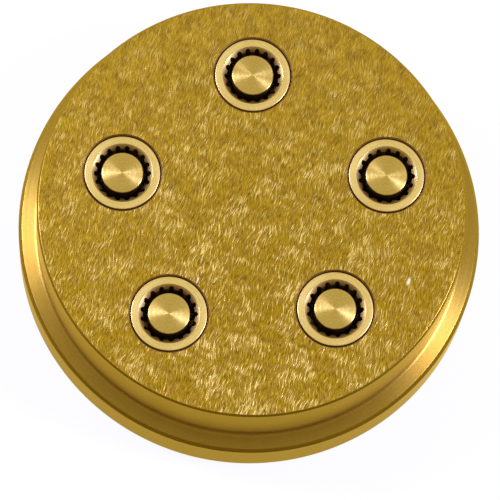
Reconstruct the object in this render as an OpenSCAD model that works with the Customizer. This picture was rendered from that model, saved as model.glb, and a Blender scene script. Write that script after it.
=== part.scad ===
// Pasta extrusion die: a flanged disc with five inserts that shape ribbed tubes. All sizes are in millimetres.
// The inlet face lies on z = 0 and the outlet face points up. Insert 1 lies toward +Y and the others follow
// anticlockwise, seen from the outlet.

/* [Die body] */
// outside diameter of the flange that the machine clamps
flange_d = 110; // [106:1:130]
// thickness of the flange
flange_h = 13; // [8:0.5:18]
// diameter of the boss that carries the outlet face
boss_d = 101; // [97:0.5:105]
// whole height, inlet face to outlet face
die_h = 30.5; // [28:0.5:40]
// chamfer on both rims of the flange
flange_chamfer = 0.8; // [0.3:0.1:1.5]
// chamfer round the outlet face
face_chamfer = 0.5; // [0.2:0.1:1]
// fillet where the boss meets the flange
neck_fillet = 0.8; // [0.3:0.1:1.5]

/* [Insert places] */
// distance of insert 1 from the axis
reach_1 = 32.4; // [30:0.1:34]
// direction of insert 1, anticlockwise from +X
turn_1 = 89.5; // [86:0.5:93]
// distance of insert 2 from the axis
reach_2 = 31.5; // [30:0.1:34]
// direction of insert 2
turn_2 = 165; // [161:0.5:169]
// distance of insert 3 from the axis
reach_3 = 32.4; // [30:0.1:34]
// direction of insert 3
turn_3 = 233; // [229:0.5:237]
// distance of insert 4 from the axis
reach_4 = 31.2; // [30:0.1:34]
// direction of insert 4
turn_4 = 308; // [304:0.5:312]
// distance of insert 5 from the axis
reach_5 = 32.6; // [30:0.1:34]
// direction of insert 5
turn_5 = 14; // [10:0.5:18]

/* [Insert seats] */
// diameter of the counterbore that takes bush and spider from the inlet side
seat_d = 26; // [24:0.5:28]
// depth of that counterbore, up to the step the bush rests on
seat_h = 17; // [15:0.5:20]
// radial gap round the bush at the outlet
nose_gap = 0.25; // [0.1:0.05:0.4]
// radial room of the pressed pieces in their seats
fit_gap = 0.05; // [0.02:0.01:0.1]
// edge break at the mouths of the bores
bore_edge = 0.3; // [0.1:0.05:0.6]

/* [Bush] */
// diameter of the bush at the outlet face
nose_d = 17.8; // [17:0.1:20]
// depth of the bush's end below the outlet face
nose_recess = 0.15; // [0.05:0.05:1]
// wall of the bush round the dough chamber
bush_wall = 3; // [2:0.1:4]
// length of the taper from chamber to throat
chamber_taper = 4.5; // [3:0.5:6]
// edge break at both ends of the bush
bush_edge = 0.25; // [0.1:0.05:0.4]

/* [Grooved outlet] */
// radial gap between core pin and groove crests, the wall of the tube
outlet_gap = 1.15; // [0.6:0.05:1.5]
// depth of the grooves that rib the tube
groove_depth = 0.7; // [0.4:0.05:1]
// width of a groove
groove_w = 1.25; // [0.8:0.05:1.4]
// edge break between a groove's side and the crest beside it
groove_edge = 0.2; // [0.1:0.05:0.3]
// length of the grooved land
land_h = 4.5; // [3:0.5:6]
// radial step from groove root to the rim of the countersink
mouth_step = 0.4; // [0.15:0.05:0.6]
// depth of the countersink that the grooves come out in
mouth_h = 0.9; // [0.2:0.05:1]
// radial room between groove root and throat
throat_step = 0.55; // [0.3:0.05:0.8]
// grooves in bush 1
groove_count_1 = 18; // [14:1:20]
// grooves in bush 2
groove_count_2 = 18; // [14:1:20]
// grooves in bush 3
groove_count_3 = 17; // [14:1:20]
// grooves in bush 4
groove_count_4 = 17; // [14:1:20]
// grooves in bush 5
groove_count_5 = 17; // [14:1:20]

/* [Core pin] */
// diameter of the pin's head, the bore of the tube
core_d = 9.8; // [8:0.1:11]
// depth of the pin's end below the outlet face
core_recess = 0.1; // [0:0.05:0.5]
// length of the full-size head
head_h = 8; // [6:0.5:10]
// length of the taper from stem to head
head_taper = 4.5; // [3:0.5:5]
// diameter of the stem in the chamber
stem_d = 6.4; // [5.2:0.1:7.5]
// diameter of the tail pressed into the hub
tail_d = 4; // [3:0.1:4.6]
// edge break at the pin's ends
pin_edge = 0.3; // [0.1:0.05:0.5]

/* [Spider] */
// height of the spider
spider_h = 8; // [6.5:0.5:10]
// depth of the spider below the inlet face
spider_recess = 0.5; // [0.2:0.1:1]
// diameter of the hub
hub_d = 7; // [6:0.1:8]
// width of an arm
arm_w = 3; // [2.2:0.1:4]
// width of an arm's leading and trailing edge
arm_edge_w = 1.2; // [0.6:0.1:2]
// length of the slope on each side of an arm's edge
arm_slope = 2; // [1:0.1:3]
// flare at the mouth of the spider's ring
ring_flare = 0.8; // [0.3:0.1:1.5]

/* [Hidden] */
$fn = 96;
arm_count = 3;
// direction of the first arm
arm_turn = 30;
// how far a cut runs past the face it opens
past = 1;
brass = "#c9a24a";
pale_brass = "#d9bd74";

reaches = [reach_1, reach_2, reach_3, reach_4, reach_5];
turns = [turn_1, turn_2, turn_3, turn_4, turn_5];
groove_counts = [groove_count_1, groove_count_2, groove_count_3, groove_count_4, groove_count_5];

flange_r = flange_d / 2;
boss_r = boss_d / 2;
seat_r = seat_d / 2;
nose_r = nose_d / 2;
bore_r = nose_r + nose_gap;
chamber_r = seat_r - bush_wall;
core_r = core_d / 2;
stem_r = stem_d / 2;
tail_r = tail_d / 2;
crest_r = core_r + outlet_gap;
root_r = crest_r + groove_depth;
mouth_r = root_r + mouth_step;
throat_r = root_r + throat_step;

bush_z = spider_recess + spider_h;
nose_z = die_h - nose_recess;
land_top_z = nose_z - mouth_h;
land_z = land_top_z - land_h;
// the throat closes onto the crests at 45 degrees
throat_top_z = land_z - (throat_r - crest_r);
// the chamber's taper ends just under the step, where the bush is still thick
throat_z = seat_h - bush_edge;
core_z = die_h - core_recess;
head_z = core_z - head_h;
hub_r = hub_d / 2;
fitted_r = seat_r - fit_gap;

// Places what belongs to one insert, counted from 1.
module at_insert(number) {
    reach = reaches[number - 1];
    turn = turns[number - 1];
    translate([reach * cos(turn), reach * sin(turn), 0])
        children();
}

// Half section of the disc with flange and boss.
module body_profile() {
    difference() {
        polygon([
            [0, 0],
            [flange_r - flange_chamfer, 0],
            [flange_r, flange_chamfer],
            [flange_r, flange_h - flange_chamfer],
            [flange_r - flange_chamfer, flange_h],
            [boss_r + neck_fillet, flange_h],
            [boss_r, flange_h + neck_fillet],
            [boss_r, die_h - face_chamfer],
            [boss_r - face_chamfer, die_h],
            [0, die_h]
        ]);
        translate([boss_r + neck_fillet, flange_h + neck_fillet])
            circle(r = neck_fillet);
    }
}

// The room for one insert: a counterbore from the inlet side and a smaller bore to the outlet.
module insert_seat() {
    rotate_extrude()
        polygon([
            [0, -past],
            [seat_r + bore_edge + past, -past],
            [seat_r, bore_edge],
            [seat_r, seat_h],
            [bore_r, seat_h],
            [bore_r, die_h - bore_edge],
            [bore_r + bore_edge + past, die_h + past],
            [0, die_h + past]
        ]);
}

module die_body() {
    color(brass)
        difference() {
            rotate_extrude()
                body_profile();
            for (number = [1:len(turns)])
                at_insert(number)
                    insert_seat();
        }
}

// Half section of a bush: a shoulder in the counterbore and a nose that reaches the outlet face.
module bush_profile() {
    polygon([
        [chamber_r, bush_z],
        [fitted_r - bush_edge, bush_z],
        [fitted_r, bush_z + bush_edge],
        [fitted_r, seat_h],
        [nose_r, seat_h],
        [nose_r, nose_z - bush_edge],
        [nose_r - bush_edge, nose_z],
        [mouth_r, nose_z],
        [crest_r, land_top_z],
        [crest_r, land_z],
        [throat_r, throat_top_z],
        [throat_r, throat_z],
        [chamber_r, throat_z - chamber_taper]
    ]);
}

// One round-bottomed groove, drawn from inside the bore to its root. Its sides open at 45 degrees at the crest.
module groove_outline() {
    side = groove_w / 2;
    break_x = crest_r + groove_edge;
    open_side = side + break_x - core_r;
    polygon([
        [core_r, -open_side],
        [break_x, -side],
        [root_r - side, -side],
        [root_r - side, side],
        [break_x, side],
        [core_r, open_side]
    ]);
    translate([root_r - side, 0])
        circle(d = groove_w);
}

// A bush with straight grooves round its outlet, one of them toward +X.
module insert_bush(number) {
    count = groove_counts[number - 1];
    color(pale_brass)
        at_insert(number)
            difference() {
                rotate_extrude()
                    bush_profile();
                translate([0, 0, throat_top_z])
                    linear_extrude(height = nose_z - throat_top_z)
                        for (groove = [0:count - 1])
                            rotate(groove * 360 / count)
                                groove_outline();
            }
}

// A pin with a thick head at the outlet, a thinner stem in the chamber and a tail held by the spider's hub.
module core_pin(number) {
    color(pale_brass)
        at_insert(number)
            rotate_extrude()
                polygon([
                    [0, spider_recess + pin_edge],
                    [tail_r - fit_gap - pin_edge, spider_recess + pin_edge],
                    [tail_r - fit_gap, spider_recess + 2 * pin_edge],
                    [tail_r - fit_gap, bush_z],
                    [stem_r, bush_z],
                    [stem_r, head_z - head_taper],
                    [core_r, head_z],
                    [core_r, core_z - pin_edge],
                    [core_r - pin_edge, core_z],
                    [0, core_z]
                ]);
}

// One arm with wedge edges toward the dough, from the hub's axis into the ring.
module spider_arm() {
    rotate([90, 0, 90])
        linear_extrude(height = chamber_r + bush_wall / 2)
            polygon([
                [-arm_edge_w / 2, spider_recess],
                [arm_edge_w / 2, spider_recess],
                [arm_w / 2, spider_recess + arm_slope],
                [arm_w / 2, bush_z - arm_slope],
                [arm_edge_w / 2, bush_z],
                [-arm_edge_w / 2, bush_z],
                [-arm_w / 2, bush_z - arm_slope],
                [-arm_w / 2, spider_recess + arm_slope]
            ]);
}

module spider_ring() {
    rotate_extrude()
        polygon([
            [chamber_r + ring_flare, spider_recess],
            [fitted_r - bush_edge, spider_recess],
            [fitted_r, spider_recess + bush_edge],
            [fitted_r, bush_z],
            [chamber_r, bush_z],
            [chamber_r, spider_recess + ring_flare]
        ]);
}

// The carrier behind a bush: ring, three arms and a hub bored for the pin's tail.
module core_spider(number) {
    color(brass)
        at_insert(number)
            difference() {
                union() {
                    spider_ring();
                    translate([0, 0, spider_recess])
                        cylinder(r = hub_r, h = spider_h);
                    for (arm = [0:arm_count - 1])
                        rotate(arm_turn + arm * 360 / arm_count)
                            spider_arm();
                }
                translate([0, 0, spider_recess - past])
                    cylinder(r = tail_r, h = spider_h + 2 * past);
            }
}

die_body();
insert_bush(1);  // insert_bush_1
insert_bush(2);  // insert_bush_2
insert_bush(3);  // insert_bush_3
insert_bush(4);  // insert_bush_4
insert_bush(5);  // insert_bush_5
core_pin(1);  // core_pin_1
core_pin(2);  // core_pin_2
core_pin(3);  // core_pin_3
core_pin(4);  // core_pin_4
core_pin(5);  // core_pin_5
core_spider(1);  // core_spider_1
core_spider(2);  // core_spider_2
core_spider(3);  // core_spider_3
core_spider(4);  // core_spider_4
core_spider(5);  // core_spider_5
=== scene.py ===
"""Looks of a pasta extrusion die: a turned brass body, a brushed outlet face and five grooved inserts."""
import math

import bmesh
import bpy
from mathutils import Matrix, Vector


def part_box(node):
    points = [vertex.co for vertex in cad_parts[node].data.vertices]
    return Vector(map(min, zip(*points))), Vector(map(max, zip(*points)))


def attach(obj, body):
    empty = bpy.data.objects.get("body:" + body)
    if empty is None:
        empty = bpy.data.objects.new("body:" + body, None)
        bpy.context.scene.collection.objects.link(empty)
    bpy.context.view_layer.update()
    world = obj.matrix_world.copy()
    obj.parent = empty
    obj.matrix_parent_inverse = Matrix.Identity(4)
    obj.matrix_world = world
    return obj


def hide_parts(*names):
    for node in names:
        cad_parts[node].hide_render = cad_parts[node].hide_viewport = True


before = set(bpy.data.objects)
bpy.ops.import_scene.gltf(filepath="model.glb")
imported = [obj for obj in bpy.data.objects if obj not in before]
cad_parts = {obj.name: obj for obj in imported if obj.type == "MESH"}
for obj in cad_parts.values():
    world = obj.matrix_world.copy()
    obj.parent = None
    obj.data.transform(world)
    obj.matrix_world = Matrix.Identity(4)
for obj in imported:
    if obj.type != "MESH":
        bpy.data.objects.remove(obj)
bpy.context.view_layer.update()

# Sizes in millimetres. The meshes are in metres
MM = 0.001
INSERTS = range(1, 6)
GROOVE_COUNTS = {1: 18, 2: 18, 3: 17, 4: 17, 5: 17}
ARM_COUNT = 3
# direction of a spider's first arm, anticlockwise from +X
ARM_TURN = math.radians(30)

body_low, body_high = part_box("die_body")
flange_r = min(-body_low.x, -body_low.y, body_high.x, body_high.y) / MM
die_h = body_high.z / MM
flange_h = 13
boss_r = 50.5
flange_chamfer = 0.8
face_chamfer = 0.5
neck_fillet = 0.8

seat_r = 13
seat_h = 17
bore_r = 9.15
bore_edge = 0.3

bush_low, bush_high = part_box("insert_bush_1")
bush_z = bush_low.z / MM
nose_z = bush_high.z / MM
fitted_r = 12.95
nose_r = 8.9
chamber_r = 10
throat_r = 7.3
throat_z = 16.75
chamber_top_z = 12.25
mouth_r = 7.15
crest_r = 6.05
sink_depth = 0.9
land_h = 4.5
land_top_z = nose_z - sink_depth
land_z = land_top_z - land_h
throat_top_z = land_z - (throat_r - crest_r)
groove_r = 0.625
groove_reach = 6.125
rib_round = 0.2

pin_low, pin_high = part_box("core_pin_1")
core_z = pin_high.z / MM
pin_z = pin_low.z / MM
core_r = 4.9
stem_r = 3.2
tail_r = 1.95
head_h = 8
taper_h = 4.5
head_z = core_z - head_h
taper_z = head_z - taper_h

spider_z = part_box("core_spider_1")[0].z / MM
hub_r = 3.5
hub_bore_r = 2
arm_w = 3
arm_edge_w = 1.2
arm_slope = 2
ring_flare = 0.8
# the arms stop this far inside the ring's faces, which keeps the faces apart
arm_inset = 0.03

# steps round the axis of a piece, and along a rounded edge
BODY_STEPS = 192
INSERT_STEPS = 144
PIN_STEPS = 96
FLOOR_STEPS = 64
ARC_STEPS = 5
# how far a cutter reaches past its piece
PAST = 1
# radius of the points that only steer the rounding of the corner beside them, and are then left out
GUIDE_R = 0.5
# edges sharper than this stay crisp
SHARP_ANGLE = math.radians(35)

# slots of the four finishes on the body
WALL_SLOT = 0
FACE_SLOT = 1
BORE_SLOT = 2
EDGE_SLOT = 3
# a face counts as level above this rise of its normal, and as a chamfer between these two
LEVEL_RISE = 0.999
CHAMFER_RISE = 0.2, 0.97
# room for the rounding beside a chamfer
CHAMFER_ROOM = 0.2

# directions of the brush strokes on the outlet face, anticlockwise from +X
STROKE_TURN = math.radians(78)
CROSS_STROKE_TURN = math.radians(66)
# single marks that the photo shows on the face: x, y, direction, half length, half width and colour
# the two palest marks are painted glints, highlights laid into the colour; the third is a mark on the brass
FACE_MARKS_AND_GLINTS = [
    (-12.8, -17.9, math.radians(66), 0.9, 0.2, "#f6e8c0"),
    (36.4, -17.9, math.radians(68), 1.1, 0.32, "#fff3d2"),
    (12.4, -11.0, math.radians(20), 0.75, 0.6, "#c2a052"),
]
# tint of what brass reflects at a low angle, where it stays yellow
BRASS_EDGE = "#f3e2b3"
# direction in which the ceiling is brightest
CEILING_LEAN = (0, 0.35, 0.937)
# cool daylight of the softboxes, in red, green and blue
DAYLIGHT = (0.88, 0.95, 2.3)
# node options that recur
COLOURS = {"data_type": "RGBA"}
TIMES_PLUS = {"operation": "MULTIPLY_ADD"}
CUT = {"operation": "DIFFERENCE", "solver": "EXACT"}
# inputs of a Mix node, by number because their names repeat
PART = 0
FROM_VALUE = 2
TO_VALUE = 3
FROM_TONE = 6
TO_TONE = 7


def insert_centre(number):
    """Place of an insert's axis, in metres."""
    low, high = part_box(f"core_pin_{number}")
    return Vector(((low.x + high.x) / 2, (low.y + high.y) / 2, 0))


insert_centres = {number: insert_centre(number) for number in INSERTS}


def linear(hex_colour):
    """An sRGB hex colour as linear RGBA."""
    channels = [int(hex_colour[place:place + 2], 16) / 255 for place in (1, 3, 5)]
    return [c / 12.92 if c <= 0.04045 else ((c + 0.055) / 1.055) ** 2.4 for c in channels] + [1]


def add_node(tree, kind, options, inputs):
    """Adds a node with its options. An input takes a value, a socket or a node, which gives its live output.

    Inputs go by name, or by number where a node repeats a name.
    """
    node = tree.nodes.new(kind)
    for name, value in options.items():
        setattr(node, name, value)
    for name, value in inputs.items():
        if isinstance(value, bpy.types.Node):
            value = next(socket for socket in value.outputs if socket.enabled)
        if isinstance(value, bpy.types.NodeSocket):
            tree.links.new(value, node.inputs[name])
        else:
            node.inputs[name].default_value = value
    return node


# Meshes


def rounded_outline(corners):
    """Closed outline in mm through corners of (radius, height, rounding)."""
    points = []
    for place, (r, z, rounding) in enumerate(corners):
        corner = Vector((r, z))
        if rounding == 0:
            points.append(corner)
            continue
        before = (Vector(corners[place - 1][:2]) - corner).normalized()
        after = (Vector(corners[(place + 1) % len(corners)][:2]) - corner).normalized()
        half = before.angle(after) / 2
        middle = corner + (before + after).normalized() * rounding / math.sin(half)
        start = corner + before * rounding / math.tan(half) - middle
        end = corner + after * rounding / math.tan(half) - middle
        points += [middle + rounding * start.slerp(end, step / ARC_STEPS) for step in range(ARC_STEPS + 1)]
    return points


def turned_mesh(name, outline, steps, capped):
    """A solid of revolution about Z. A capped one is closed by flat ends at its first and last point."""
    shape = bmesh.new()
    turns = [math.tau * step / steps for step in range(steps)]
    rings = []
    for r, z in outline:
        rings.append([shape.verts.new((r * MM * math.cos(a), r * MM * math.sin(a), z * MM)) for a in turns])
    following = rings[1:] if capped else rings[1:] + rings[:1]
    for ring, next_ring in zip(rings, following):
        for step in range(steps):
            beside = (step + 1) % steps
            shape.faces.new((ring[step], ring[beside], next_ring[beside], next_ring[step]))
    if capped:
        shape.faces.new(rings[0])
        shape.faces.new(rings[-1])
    return finished_mesh(name, shape)


def prism_mesh(name, outline, low_z, high_z):
    """A straight prism on an outline in mm, between two heights."""
    shape = bmesh.new()
    low = [shape.verts.new((x * MM, y * MM, low_z * MM)) for x, y in outline]
    high = [shape.verts.new((x * MM, y * MM, high_z * MM)) for x, y in outline]
    shape.faces.new(low)
    shape.faces.new(high)
    for place in range(len(outline)):
        shape.faces.new((low[place - 1], low[place], high[place], high[place - 1]))
    return finished_mesh(name, shape)


def finished_mesh(name, shape):
    bmesh.ops.recalc_face_normals(shape, faces=shape.faces)
    mesh = bpy.data.meshes.new(name)
    shape.to_mesh(mesh)
    shape.free()
    return mesh


def make_object(name, mesh):
    made = bpy.data.objects.new(name, mesh)
    bpy.context.scene.collection.objects.link(made)
    return made


def body_outline():
    return rounded_outline([
        (flange_r - flange_chamfer, 0, 0.1),
        (flange_r, flange_chamfer, 0.2),
        (flange_r, flange_h - flange_chamfer, 0.2),
        (flange_r - flange_chamfer, flange_h, 0.15),
        (boss_r, flange_h, neck_fillet),
        (boss_r, die_h - face_chamfer, 0.2),
        (boss_r - face_chamfer, die_h, 0.12),
        (GUIDE_R, die_h, 0),
        (GUIDE_R, 0, 0),
    ])[:-2]


def seat_outline():
    return rounded_outline([
        (seat_r + bore_edge + PAST, -PAST, 0),
        (seat_r, bore_edge, 0.1),
        (seat_r, seat_h, 0),
        (bore_r, seat_h, 0),
        (bore_r, die_h - bore_edge, 0.1),
        (bore_r + bore_edge + PAST, die_h + PAST, 0),
    ])


def bush_outline():
    return rounded_outline([
        (chamber_r, bush_z, 0.05),
        (fitted_r, bush_z, 0.25),
        (fitted_r, seat_h, 0),
        (nose_r, seat_h, 0),
        (nose_r, nose_z, 0.22),
        (mouth_r, nose_z, 0.12),
        (crest_r, land_top_z, 0.15),
        (crest_r, land_z, 0),
        (throat_r, throat_top_z, 0.2),
        (throat_r, throat_z, 0.5),
        (chamber_r, chamber_top_z, 0.5),
    ])


def pin_outline():
    return rounded_outline([
        (GUIDE_R, pin_z, 0),
        (tail_r, pin_z, 0.3),
        (tail_r, bush_z, 0),
        (stem_r, bush_z, 0.1),
        (stem_r, taper_z, 0.6),
        (core_r, head_z, 0.6),
        (core_r, core_z, 0.25),
        (GUIDE_R, core_z, 0),
    ])[1:-1]


def ring_outline():
    return rounded_outline([
        (chamber_r + ring_flare, spider_z, 0.1),
        (fitted_r, spider_z, 0.25),
        (fitted_r, bush_z, 0),
        (chamber_r, bush_z, 0),
        (chamber_r, spider_z + ring_flare, 0.2),
    ])


def groove_outline():
    """A scallop whose sides run smoothly into the rounded ribs beside it."""
    inner = crest_r + rib_round
    outer = groove_r + rib_round
    x = (inner ** 2 - outer ** 2 + groove_reach ** 2) / (2 * groove_reach)
    y = math.sqrt(inner ** 2 - x ** 2)
    rib = Vector((x, y))
    root = Vector((groove_reach, 0))
    upper = [rib + rib_round * (-rib).slerp(root - rib, step / ARC_STEPS) for step in range(ARC_STEPS + 1)]
    first_turn = (rib - root).angle_signed(Vector((1, 0)))
    root_steps = 2 * ARC_STEPS
    turns = [first_turn * (1 - step / root_steps) for step in range(1, root_steps + 1)]
    upper += [root + groove_r * Vector((math.cos(turn), math.sin(turn))) for turn in turns]
    upper.insert(0, Vector((core_r, upper[0].y)))
    lower = [Vector((point.x, -point.y)) for point in upper[-2::-1]]
    return upper + lower


def arm_outline():
    low = spider_z + arm_inset
    high = bush_z - arm_inset
    side = [
        (arm_edge_w / 2, low, 0.15),
        (arm_w / 2, low + arm_slope, 0.4),
        (arm_w / 2, high - arm_slope, 0.4),
        (arm_edge_w / 2, high, 0.15),
    ]
    other_side = [(-r, z, rounding) for r, z, rounding in reversed(side)]
    return rounded_outline(side + other_side)


# Geometry node trees


def new_tree(name, sizes):
    """An empty tree with a mesh input, the named inputs and a mesh output."""
    tree = bpy.data.node_groups.new(name, "GeometryNodeTree")
    tree.interface.new_socket("Blank", in_out="INPUT", socket_type="NodeSocketGeometry")
    for size, kind in sizes.items():
        tree.interface.new_socket(size, in_out="INPUT", socket_type=f"NodeSocket{kind}")
    tree.interface.new_socket("Piece", in_out="OUTPUT", socket_type="NodeSocketGeometry")
    return tree, add_node(tree, "NodeGroupInput", {}, {})


def close_tree(tree, given, cut):
    """Smooth shading up to the sharp edges, then real geometry with its brass."""
    angle = add_node(tree, "GeometryNodeInputMeshEdgeAngle", {}, {})
    sharp = add_node(tree, "FunctionNodeCompare", {"operation": "GREATER_THAN"},
                     {"A": angle.outputs["Unsigned Angle"], "B": SHARP_ANGLE})
    smooth = add_node(tree, "GeometryNodeSetShadeSmooth", {"domain": "FACE"}, {"Geometry": cut})
    edges = add_node(tree, "GeometryNodeSetShadeSmooth", {"domain": "EDGE"},
                     {"Geometry": smooth, "Selection": sharp, "Shade Smooth": False})
    real = add_node(tree, "GeometryNodeRealizeInstances", {}, {"Geometry": edges})
    brass = add_node(tree, "GeometryNodeSetMaterial", {},
                     {"Geometry": real, "Material": given.outputs["Brass"]})
    add_node(tree, "NodeGroupOutput", {}, {"Piece": brass})


def seats_tree():
    """Cuts one seat through the body at each insert's place."""
    tree, given = new_tree("seats_at_inserts", {"Seat": "Object", "Places": "Object", "Brass": "Material"})
    seat = add_node(tree, "GeometryNodeObjectInfo", {}, {"Object": given.outputs["Seat"]})
    places = add_node(tree, "GeometryNodeObjectInfo", {}, {"Object": given.outputs["Places"]})
    seats = add_node(tree, "GeometryNodeInstanceOnPoints", {},
                     {"Points": places.outputs["Geometry"], "Instance": seat.outputs["Geometry"]})
    cut = add_node(tree, "GeometryNodeMeshBoolean", CUT,
                   {"Mesh 1": given.outputs["Blank"], "Mesh 2": seats})
    close_tree(tree, given, cut)
    return tree


def spread_round_axis(tree, given, item, first_turn):
    """Instances of an item, evenly spread round Z."""
    count = given.outputs["Count"]
    points = add_node(tree, "GeometryNodeMeshLine", {}, {"Count": count, "Offset": (0, 0, 0)})
    index = add_node(tree, "GeometryNodeInputIndex", {}, {})
    part = add_node(tree, "ShaderNodeMath", {"operation": "DIVIDE"}, {0: index, 1: count})
    turn = add_node(tree, "ShaderNodeMath", TIMES_PLUS, {0: part, 1: math.tau, 2: first_turn})
    about_z = add_node(tree, "ShaderNodeCombineXYZ", {}, {"Z": turn})
    return add_node(tree, "GeometryNodeInstanceOnPoints", {},
                    {"Points": points, "Instance": item, "Rotation": about_z})


def grooves_tree():
    """Cuts straight grooves round the bore of a bush."""
    tree, given = new_tree("grooves_round_bore", {"Groove": "Object", "Count": "Int", "Brass": "Material"})
    groove = add_node(tree, "GeometryNodeObjectInfo", {}, {"Object": given.outputs["Groove"]})
    grooves = spread_round_axis(tree, given, groove.outputs["Geometry"], 0)
    cut = add_node(tree, "GeometryNodeMeshBoolean", CUT,
                   {"Mesh 1": given.outputs["Blank"], "Mesh 2": grooves})
    close_tree(tree, given, cut)
    return tree


def spider_tree():
    """Joins ring, hub and arms, and bores the hub for the tail of the pin."""
    tree, given = new_tree("arms_round_hub", {
        "Hub": "Object", "Arm": "Object", "Bore": "Object", "Count": "Int", "First turn": "Float",
        "Brass": "Material",
    })
    hub = add_node(tree, "GeometryNodeObjectInfo", {}, {"Object": given.outputs["Hub"]})
    arm = add_node(tree, "GeometryNodeObjectInfo", {}, {"Object": given.outputs["Arm"]})
    bore = add_node(tree, "GeometryNodeObjectInfo", {}, {"Object": given.outputs["Bore"]})
    arms = spread_round_axis(tree, given, arm.outputs["Geometry"], given.outputs["First turn"])
    joined = add_node(tree, "GeometryNodeMeshBoolean", {"operation": "UNION", "solver": "EXACT"},
                      {"Mesh 2": given.outputs["Blank"]})
    # this input takes more than one link
    tree.links.new(hub.outputs["Geometry"], joined.inputs["Mesh 2"])
    tree.links.new(arms.outputs[0], joined.inputs["Mesh 2"])
    bored = add_node(tree, "GeometryNodeMeshBoolean", CUT,
                     {"Mesh 1": joined, "Mesh 2": bore.outputs["Geometry"]})
    close_tree(tree, given, bored)
    return tree


def grown_mesh(name, blank, tree, sizes):
    """Runs a tree on a blank mesh and returns the result as a plain mesh."""
    worker = make_object(name, blank)
    modifier = worker.modifiers.new(name, "NODES")
    modifier.node_group = tree
    for socket in tree.interface.items_tree:
        if socket.in_out == "INPUT" and socket.name in sizes:
            modifier[socket.identifier] = sizes[socket.name]
    # the large faces set the shading, so that flats stay flat beside rounded edges
    weighted = worker.modifiers.new("even_normals", "WEIGHTED_NORMAL")
    weighted.keep_sharp = True
    weighted.weight = 100
    depsgraph = bpy.context.evaluated_depsgraph_get()
    mesh = bpy.data.meshes.new_from_object(worker.evaluated_get(depsgraph), depsgraph=depsgraph)
    mesh.name = name
    # the slot that the cutters bring is empty
    mesh.materials.pop(index=0)
    bpy.data.objects.remove(worker)
    return mesh


# Materials


def new_material(name):
    material = bpy.data.materials.new(name)
    material.use_nodes = True
    material.node_tree.nodes.clear()
    return material, material.node_tree


def place_in_mm(tree, source):
    """Place on a piece in mm, in the die's frame or, from an attribute, from the insert's own axis."""
    if source == "die":
        place = add_node(tree, "ShaderNodeTexCoord", {}, {}).outputs["Object"]
    else:
        place = add_node(tree, "ShaderNodeAttribute", {"attribute_name": source}, {}).outputs["Vector"]
    return add_node(tree, "ShaderNodeVectorMath", {"operation": "SCALE"}, {0: place, "Scale": 1 / MM})


def spotted(tree, place, size, detail):
    """Noise with spots of a size (x, y, z) in mm."""
    steps = add_node(tree, "ShaderNodeVectorMath", {"operation": "DIVIDE"}, {0: place, 1: size})
    return add_node(tree, "ShaderNodeTexNoise", {}, {"Vector": steps, "Scale": 1, "Detail": detail})


def off_axis(tree, place):
    """Way out from Z to a place, and its length."""
    flat = add_node(tree, "ShaderNodeVectorMath", {"operation": "MULTIPLY"}, {0: place, 1: (1, 1, 0)})
    return flat, add_node(tree, "ShaderNodeVectorMath", {"operation": "LENGTH"}, {0: flat})


def turned_marks(tree, place, pitch, breaks):
    """Rings that a turning tool leaves round Z, a pitch apart in mm, with this many breaks in a turn."""
    flat, reach = off_axis(tree, place)
    way = add_node(tree, "ShaderNodeVectorMath", {"operation": "NORMALIZE"}, {0: flat})
    ring = add_node(tree, "ShaderNodeMath", {"operation": "DIVIDE"}, {0: reach, 1: pitch})
    height = add_node(tree, "ShaderNodeSeparateXYZ", {}, {"Vector": place}).outputs["Z"]
    level = add_node(tree, "ShaderNodeMath", {"operation": "DIVIDE"}, {0: height, 1: pitch})
    out = add_node(tree, "ShaderNodeCombineXYZ", {}, {"Z": ring})
    point = add_node(tree, "ShaderNodeVectorMath", TIMES_PLUS, {0: way, 1: [breaks / math.tau] * 3, 2: out})
    return add_node(tree, "ShaderNodeTexNoise", {"noise_dimensions": "4D"},
                    {"Vector": point, "W": level, "Scale": 1, "Detail": 2})


def close_metal(tree, colour, roughness, anisotropic, tangent, height, depth):
    """Metal with marks of a depth in mm, whose gloss is drawn out across the tangent."""
    quarter_turn = 0.25
    bump = add_node(tree, "ShaderNodeBump", {}, {"Strength": 1, "Distance": depth * MM, "Height": height})
    shader = add_node(tree, "ShaderNodeBsdfPrincipled", {}, {
        "Base Color": colour, "Metallic": 1, "Roughness": roughness, "Anisotropic": anisotropic,
        "Anisotropic Rotation": quarter_turn, "Tangent": tangent, "Normal": bump,
        "Specular Tint": linear(BRASS_EDGE),
    })
    add_node(tree, "ShaderNodeOutputMaterial", {}, {"Surface": shader})


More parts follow.
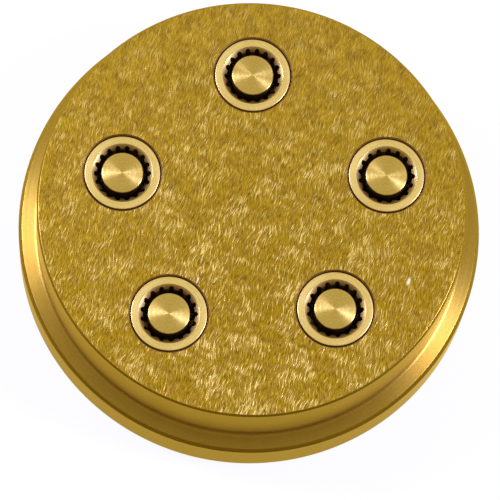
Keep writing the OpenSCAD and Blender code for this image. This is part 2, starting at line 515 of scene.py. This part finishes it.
def turned_brass(name, source, tones, pitch, anisotropic, roughness, depth, painted_shade=None):
    """Turned brass with rings a pitch apart in mm, faint clouds and a fine grain, between two tones.

    The real rings are finer, and are drawn coarser to show. Painted shade deepens the brass in a gap or
    hollow: a start and an end of the change, as distances from the axis, and a colour.
    """
    material, tree = new_material(name)
    place = place_in_mm(tree, source)
    fine = turned_marks(tree, place, pitch, breaks=12)
    broad = turned_marks(tree, place, 4 * pitch, breaks=5)
    clouds = spotted(tree, place, size=(7, 7, 7), detail=3)
    grain = spotted(tree, place, size=(0.4, 0.4, 0.4), detail=2)
    marks = add_node(tree, "ShaderNodeMix", {}, {PART: 0.4, FROM_VALUE: fine, TO_VALUE: broad})
    clouded = add_node(tree, "ShaderNodeMix", {}, {PART: 0.3, FROM_VALUE: marks, TO_VALUE: clouds})
    tone = add_node(tree, "ShaderNodeMix", {}, {PART: 0.35, FROM_VALUE: clouded, TO_VALUE: grain})
    part = add_node(tree, "ShaderNodeMapRange", {}, {"Value": tone, "From Min": 0.35, "From Max": 0.65})
    dark, light = tones
    colour = add_node(tree, "ShaderNodeMix", COLOURS,
                      {PART: part, FROM_TONE: linear(dark), TO_TONE: linear(light)})
    # painted shade: the colour turns to a deep tone by distance from the axis
    if painted_shade:
        start, end, shade_tone = painted_shade
        reach = off_axis(tree, place)[1]
        passed = add_node(tree, "ShaderNodeMapRange", {},
                          {"Value": reach, "From Min": start, "From Max": end})
        colour = add_node(tree, "ShaderNodeMix", COLOURS,
                          {PART: passed, FROM_TONE: colour, TO_TONE: linear(shade_tone)})
    spread = 0.06
    rough = add_node(tree, "ShaderNodeMapRange", {}, {
        "Value": marks, "From Min": 0.3, "From Max": 0.7,
        "To Min": roughness - spread, "To Max": roughness + spread,
    })
    round_axis = add_node(tree, "ShaderNodeVectorMath", {"operation": "CROSS_PRODUCT"},
                          {0: (0, 0, 1), 1: place})
    close_metal(tree, colour, rough, anisotropic, round_axis, marks, depth)
    return material


def along_strokes(tree, place, turn):
    """Place turned so that strokes run along its second axis, and swaying so that they bend a little."""
    turned = add_node(tree, "ShaderNodeMapping", {},
                      {"Vector": place, "Rotation": (0, 0, math.pi / 2 - turn)})
    sway = spotted(tree, place, size=(5, 5, 5), detail=0)
    sway_w = 1.5
    return add_node(tree, "ShaderNodeVectorMath", TIMES_PLUS, {0: sway, 1: (sway_w, 0, 0), 2: turned})


def brushed_brass():
    """Brass brushed one way: a fur of fine strokes and tufts of brighter scratches, partly painted glints
    and painted shade, laid denser in front as painted light.
    """
    tuft_weight = 0.5
    groove_weight = 0.85
    scratch_rise = 0.5
    groove_rise = -0.4
    material, tree = new_material("brushed_brass_face")
    place = place_in_mm(tree, "die")
    along = along_strokes(tree, place, STROKE_TURN)
    across = along_strokes(tree, place, CROSS_STROKE_TURN)
    # the real strokes are about a twentieth of a millimetre wide, and are drawn wider to show
    fur = spotted(tree, along, size=(0.17, 1.5, 5), detail=1.4)
    long_scratch = spotted(tree, along, size=(0.24, 3, 5), detail=0.6)
    short_scratch = spotted(tree, across, size=(0.22, 2, 5), detail=0.6)
    groove = spotted(tree, across, size=(0.24, 1.8, 8), detail=0.8)
    tuft = spotted(tree, place, size=(4, 4, 4), detail=4)
    patch = spotted(tree, along, size=(2.5, 4, 5), detail=3)
    scratch = add_node(tree, "ShaderNodeMath", {"operation": "MAXIMUM"},
                       {0: long_scratch, 1: short_scratch})
    tufted = add_node(tree, "ShaderNodeMath", TIMES_PLUS, {0: tuft, 1: tuft_weight, 2: scratch})
    scratch_glint = add_node(tree, "ShaderNodeMapRange", {}, {"Value": tufted, "From Min": 0.86, "From Max": 1.03})
    dark = add_node(tree, "ShaderNodeMapRange", {}, {"Value": groove, "From Min": 0.58, "From Max": 0.74})
    tone = add_node(tree, "ShaderNodeMapRange", {}, {"Value": fur, "From Min": 0.32, "From Max": 0.68})
    browned = add_node(tree, "ShaderNodeMapRange", {}, {"Value": patch, "From Min": 0.42, "From Max": 0.62})
    # yellow and browner patches, with more contrast toward the front, where painted shade darkens the tones
    from_centre = add_node(tree, "ShaderNodeSeparateXYZ", {}, {"Vector": place}).outputs
    front = add_node(tree, "ShaderNodeMapRange", {},
                     {"Value": from_centre["Y"], "From Min": 45, "From Max": -25})
    low = add_node(tree, "ShaderNodeMix", COLOURS,
                   {PART: front, FROM_TONE: linear("#9a781a"), TO_TONE: linear("#7a5d08")})
    high = add_node(tree, "ShaderNodeMix", COLOURS,
                    {PART: front, FROM_TONE: linear("#ba9628"), TO_TONE: linear("#ae8918")})
    yellow = add_node(tree, "ShaderNodeMix", COLOURS, {PART: tone, FROM_TONE: low, TO_TONE: high})
    brown = add_node(tree, "ShaderNodeMix", COLOURS,
                     {PART: tone, FROM_TONE: linear("#7d5e16"), TO_TONE: linear("#aa8622")})
    colour = add_node(tree, "ShaderNodeMix", COLOURS, {PART: browned, FROM_TONE: yellow, TO_TONE: brown})
    # painted light: the strokes' painted glints and painted shade show least at the back, and less at the
    # sides than in the middle
    sideways = add_node(tree, "ShaderNodeMath", {"operation": "ABSOLUTE"}, {0: from_centre["X"]})
    most = add_node(tree, "ShaderNodeMapRange", {},
                    {"Value": sideways, "From Min": 10, "From Max": 36, "To Min": 1, "To Max": 0.66})
    painted_light_amount = add_node(tree, "ShaderNodeMapRange", {},
                      {"Value": front, "From Max": 0.6, "To Min": 0.4, "To Max": most})
    # the deep groove colour is partly painted shade beside the scratches
    groove_shade_part = add_node(tree, "ShaderNodeMath", {"operation": "MULTIPLY"}, {0: dark, 1: painted_light_amount})
    groove_shade_part = add_node(tree, "ShaderNodeMath", {"operation": "MULTIPLY"}, {0: groove_shade_part, 1: groove_weight})
    colour = add_node(tree, "ShaderNodeMix", COLOURS,
                      {PART: groove_shade_part, FROM_TONE: colour, TO_TONE: linear("#563e0a")})
    # the pale stroke colour is partly painted glints on the real scratches
    scratch_glint_part = add_node(tree, "ShaderNodeMath", {"operation": "MULTIPLY"}, {0: scratch_glint, 1: painted_light_amount})
    colour = add_node(tree, "ShaderNodeMix", COLOURS,
                      {PART: scratch_glint_part, FROM_TONE: colour, TO_TONE: linear("#e0c264")})
    # marks laid into the face's colour, the two palest of them painted glints
    for x, y, turn, length, width, tint in FACE_MARKS_AND_GLINTS:
        on_mark = add_node(tree, "ShaderNodeMapping", {"vector_type": "TEXTURE"}, {
            "Vector": place, "Location": (x, y, die_h), "Rotation": (0, 0, turn),
            "Scale": (length, width, 1),
        })
        reach = add_node(tree, "ShaderNodeVectorMath", {"operation": "LENGTH"}, {0: on_mark})
        inside = add_node(tree, "ShaderNodeMapRange", {},
                          {"Value": reach, "From Min": 1.1, "From Max": 0.5, "To Max": 0.8})
        colour = add_node(tree, "ShaderNodeMix", COLOURS,
                          {PART: inside, FROM_TONE: colour, TO_TONE: linear(tint)})
    height = add_node(tree, "ShaderNodeMath", TIMES_PLUS, {0: scratch_glint, 1: scratch_rise, 2: fur})
    height = add_node(tree, "ShaderNodeMath", TIMES_PLUS, {0: dark, 1: groove_rise, 2: height})
    rough = add_node(tree, "ShaderNodeMapRange", {}, {
        "Value": fur, "From Min": 0.3, "From Max": 0.7, "To Min": 0.3, "To Max": 0.42,
    })
    stroke = add_node(tree, "ShaderNodeCombineXYZ", {},
                      {"X": math.cos(STROKE_TURN), "Y": math.sin(STROKE_TURN)})
    close_metal(tree, colour, rough, anisotropic=0.35, tangent=stroke, height=height, depth=0.025)
    return material


# brushed brass: short strokes, their pale and deep colours partly painted glints and painted shade, that
# glitter in a broad, soft shine
face_brass = brushed_brass()
# turned brass: the rings pull each light out into a pale fan across the ledge and a band up the walls
body_brass = turned_brass("turned_brass_body", "die", ("#ad8d2c", "#bf9c40"),
                          pitch=0.16, anisotropic=0.9, roughness=0.36, depth=0.003)
# broken edges: smoother than the walls, so they show as thin lines, dark in front and light at the sides
edge_brass = turned_brass("smooth_brass_edges", "die", ("#a5841c", "#b8942e"),
                          pitch=0.16, anisotropic=0.2, roughness=0.28, depth=0.001)
# shaded brass: a brown line round each bush, its deep tone painted shade in the gap
bore_brass = turned_brass("shaded_brass_bore", "die", ("#86642c", "#9a773a"),
                          pitch=0.16, anisotropic=0.3, roughness=0.5, depth=0.003)
# fine-turned brass: paler and evener than the body, with a fine grain, and painted shade that browns the
# mouth of the bore
bush_brass = turned_brass("fine_turned_brass_bush", "from_axis", ("#cbaa4e", "#e7cb74"),
                          pitch=0.2, anisotropic=0.25, roughness=0.38, depth=0.003,
                          painted_shade=(mouth_r - 0.1, mouth_r - 0.7, "#a6843e"))
# faced brass: rings round the middle that show two shining fans, and a deep brown side wall that is painted
# shade in the gap round the pin
pin_brass = turned_brass("faced_brass_pin", "from_axis", ("#b8963a", "#dbbc62"),
                         pitch=0.28, anisotropic=0.85, roughness=0.36, depth=0.0015,
                         painted_shade=(core_r - 0.06, core_r - 0.01, "#5c4420"))
# milled brass: plainer and coarser, with a soft shine
spider_brass = turned_brass("milled_brass_spider", "from_axis", ("#ab8736", "#c7a351"),
                            pitch=0.25, anisotropic=0.4, roughness=0.36, depth=0.006)

# Pieces


def finish_piece(name, mesh, node):
    piece = make_object(name, mesh)
    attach(piece, "root")
    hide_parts(node)


def settle_at_insert(mesh, number):
    """Keeps each point's place from the insert's own axis, for the materials, then moves the mesh there."""
    from_axis = mesh.attributes.new("from_axis", "FLOAT_VECTOR", "POINT")
    places = [0.0] * (3 * len(mesh.vertices))
    mesh.vertices.foreach_get("co", places)
    from_axis.data.foreach_set("vector", places)
    mesh.transform(Matrix.Translation(insert_centres[number]))


def body_slot(face):
    """Slot of the finish on a face of the body, from the face's place and slope."""
    flat = Vector((face.center.x, face.center.y, 0))
    height = face.center.z
    rise = face.normal.z
    if rise > LEVEL_RISE and height > (die_h - face_chamfer) * MM:
        return FACE_SLOT
    if min((flat - centre).length for centre in insert_centres.values()) < (bore_r + bore_edge) * MM:
        return BORE_SLOT if height > seat_h * MM else WALL_SLOT
    at_face_edge = height > (die_h - face_chamfer - CHAMFER_ROOM) * MM
    at_flange_edge = flat.length > (flange_r - flange_chamfer - CHAMFER_ROOM) * MM
    least, most = CHAMFER_RISE
    if least < rise < most and (at_face_edge or at_flange_edge):
        return EDGE_SLOT
    return WALL_SLOT


def make_body():
    blank = turned_mesh("body_blank", body_outline(), BODY_STEPS, True)
    seat = make_object("seat_cutter", turned_mesh("seat_cutter", seat_outline(), INSERT_STEPS, True))
    place_mesh = bpy.data.meshes.new("insert_places")
    place_mesh.from_pydata(list(insert_centres.values()), [], [])
    places = make_object("insert_places", place_mesh)
    sizes = {"Seat": seat, "Places": places, "Brass": body_brass}
    mesh = grown_mesh("turned_body", blank, seats_tree(), sizes)
    for brass in (face_brass, bore_brass, edge_brass):
        mesh.materials.append(brass)
    for face in mesh.polygons:
        face.material_index = body_slot(face)
    bpy.data.objects.remove(seat)
    bpy.data.objects.remove(places)
    finish_piece("turned_body", mesh, "die_body")


def make_bushes():
    tree = grooves_tree()
    groove_mesh = prism_mesh("groove_cutter", groove_outline(), throat_top_z, nose_z + PAST)
    groove = make_object("groove_cutter", groove_mesh)
    for number in INSERTS:
        name = f"grooved_bush_{number}"
        blank = turned_mesh("bush_blank", bush_outline(), INSERT_STEPS, False)
        sizes = {"Groove": groove, "Count": GROOVE_COUNTS[number], "Brass": bush_brass}
        mesh = grown_mesh(name, blank, tree, sizes)
        settle_at_insert(mesh, number)
        finish_piece(name, mesh, f"insert_bush_{number}")
    bpy.data.objects.remove(groove)


def make_pins():
    for number in INSERTS:
        name = f"turned_pin_{number}"
        mesh = turned_mesh(name, pin_outline(), PIN_STEPS, True)
        mesh.materials.append(pin_brass)
        mesh.shade_smooth()
        mesh.set_sharp_from_angle(angle=SHARP_ANGLE)
        settle_at_insert(mesh, number)
        finish_piece(name, mesh, f"core_pin_{number}")


def make_spiders():
    tree = spider_tree()
    hub_outline = [(hub_r, spider_z), (hub_r, bush_z)]
    hub = make_object("hub", turned_mesh("hub", hub_outline, PIN_STEPS, True))
    bore_outline = [(hub_bore_r, spider_z - PAST), (hub_bore_r, bush_z + PAST)]
    bore = make_object("hub_bore", turned_mesh("hub_bore", bore_outline, PIN_STEPS, True))
    arm_mesh = prism_mesh("arm", arm_outline(), 0, (chamber_r + fitted_r) / 2)
    # the prism's height becomes the arm's length, along +X, and its second outline axis points up
    arm_mesh.transform(Matrix(((0, 0, 1, 0), (1, 0, 0, 0), (0, 1, 0, 0), (0, 0, 0, 1))))
    arm = make_object("arm", arm_mesh)
    for number in INSERTS:
        name = f"milled_spider_{number}"
        blank = turned_mesh("ring_blank", ring_outline(), INSERT_STEPS, False)
        sizes = {"Hub": hub, "Arm": arm, "Bore": bore, "Count": ARM_COUNT, "First turn": ARM_TURN,
                 "Brass": spider_brass}
        mesh = grown_mesh(name, blank, tree, sizes)
        settle_at_insert(mesh, number)
        finish_piece(name, mesh, f"core_spider_{number}")
    for worker in (hub, bore, arm):
        bpy.data.objects.remove(worker)


make_body()
make_bushes()
make_pins()
make_spiders()

# Stage


def make_floor():
    """White paper, mostly plain white to the camera and to the metal, so that the shadow stays light."""
    floor_r = 3000
    # the paper under the die stays dark, up to this far inside its rim
    shade_w = 3
    plain_part = 0.9
    shape = bmesh.new()
    bmesh.ops.create_circle(shape, cap_ends=True, segments=FLOOR_STEPS, radius=floor_r * MM)
    floor = make_object("floor", finished_mesh("floor", shape))
    material, tree = new_material("white_paper")
    paper = add_node(tree, "ShaderNodeBsdfDiffuse", {}, {"Color": linear("#ededed")})
    white = add_node(tree, "ShaderNodeEmission", {}, {"Color": linear("#ffffff"), "Strength": 1})
    ray = add_node(tree, "ShaderNodeLightPath", {}, {}).outputs
    seen = add_node(tree, "ShaderNodeMath", {"operation": "ADD"},
                    {0: ray["Is Camera Ray"], 1: ray["Is Glossy Ray"]})
    seen = add_node(tree, "ShaderNodeMath", {"operation": "ADD"}, {0: seen, 1: ray["Is Transmission Ray"]})
    place = add_node(tree, "ShaderNodeTexCoord", {}, {}).outputs["Object"]
    reach = add_node(tree, "ShaderNodeVectorMath", {"operation": "LENGTH"}, {0: place})
    plain = add_node(tree, "ShaderNodeMapRange", {}, {
        "Value": reach, "From Min": (flange_r - shade_w) * MM, "From Max": flange_r * MM,
        "To Max": plain_part,
    })
    part = add_node(tree, "ShaderNodeMath", {"operation": "MULTIPLY"}, {0: seen, 1: plain})
    mixed = add_node(tree, "ShaderNodeMixShader", {}, {PART: part, 1: paper, 2: white})
    add_node(tree, "ShaderNodeOutputMaterial", {}, {"Surface": mixed})
    floor.data.materials.append(material)


def make_world():
    """A white ceiling that leans to the back, over dimmer, warm walls that are darkest in front."""
    front_wall = 0.16
    back_wall = 0.38
    ceiling = 0.95
    world = bpy.data.worlds.new("white_studio")
    bpy.context.scene.world = world
    world.use_nodes = True
    tree = world.node_tree
    tree.nodes.clear()
    toward = add_node(tree, "ShaderNodeTexCoord", {}, {}).outputs["Generated"]
    rise = add_node(tree, "ShaderNodeVectorMath", {"operation": "DOT_PRODUCT"},
                    {0: toward, 1: CEILING_LEAN})
    low = add_node(tree, "ShaderNodeMapRange", {}, {
        "Value": rise, "From Min": -0.35, "From Max": 0.2, "To Min": front_wall, "To Max": back_wall,
    })
    level = add_node(tree, "ShaderNodeMapRange", {}, {
        "Value": rise, "From Min": 0.6, "From Max": 0.95, "To Min": low, "To Max": ceiling,
    })
    high = add_node(tree, "ShaderNodeMapRange", {}, {"Value": rise, "From Min": 0.5, "From Max": 0.85})
    tint = add_node(tree, "ShaderNodeMix", COLOURS,
                    {PART: high, FROM_TONE: linear("#f2d79c"), TO_TONE: linear("#ffffff")})
    light = add_node(tree, "ShaderNodeBackground", {}, {"Color": tint, "Strength": level})
    add_node(tree, "ShaderNodeOutputWorld", {}, {"Surface": light})


def make_softbox(name, azimuth, elevation, distance, width, height, radiance):
    """A rectangular lamp aimed at the die, in degrees and metres. Its power follows from its radiance."""
    lamp = bpy.data.lights.new(name, "AREA")
    lamp.shape = "RECTANGLE"
    lamp.size = width
    lamp.size_y = height
    lamp.energy = radiance * width * height * math.pi
    lamp.color = DAYLIGHT
    box = bpy.data.objects.new(name, lamp)
    bpy.context.scene.collection.objects.link(box)
    turn = math.radians(azimuth)
    rise = math.radians(elevation)
    toward = Vector((math.cos(turn) * math.cos(rise), math.sin(turn) * math.cos(rise), math.sin(rise)))
    box.location = toward * distance
    box.rotation_euler = toward.to_track_quat("Z", "Y").to_euler()


def make_camera():
    """A long lens that looks down from high in front, turned a little about its own axis."""
    distance = 0.9
    rise = math.radians(74.461)
    roll = math.radians(8.394)
    aim = Vector((-0.595, -10.537, die_h)) * MM
    back = Vector((-math.sin(roll) * math.cos(rise), -math.cos(roll) * math.cos(rise), math.sin(rise)))
    level = Vector((math.cos(roll), -math.sin(roll), 0))
    up = back.cross(level)
    right = math.cos(roll) * level + math.sin(roll) * up
    top = back.cross(right)
    data = bpy.data.cameras.new("camera")
    data.sensor_width = 36
    data.lens = 277.64
    camera = bpy.data.objects.new("camera", data)
    bpy.context.scene.collection.objects.link(camera)
    turned = Matrix((right, top, back)).transposed().to_4x4()
    camera.matrix_world = Matrix.Translation(aim + back * distance) @ turned
    bpy.context.scene.camera = camera


make_floor()
make_world()
make_softbox("right_softbox", azimuth=-9, elevation=44, distance=0.7, width=0.14, height=0.26, radiance=32)
make_softbox("left_softbox", azimuth=160, elevation=44, distance=0.7, width=0.18, height=0.26, radiance=23)
make_camera()
bpy.context.scene.view_settings.view_transform = "Standard"
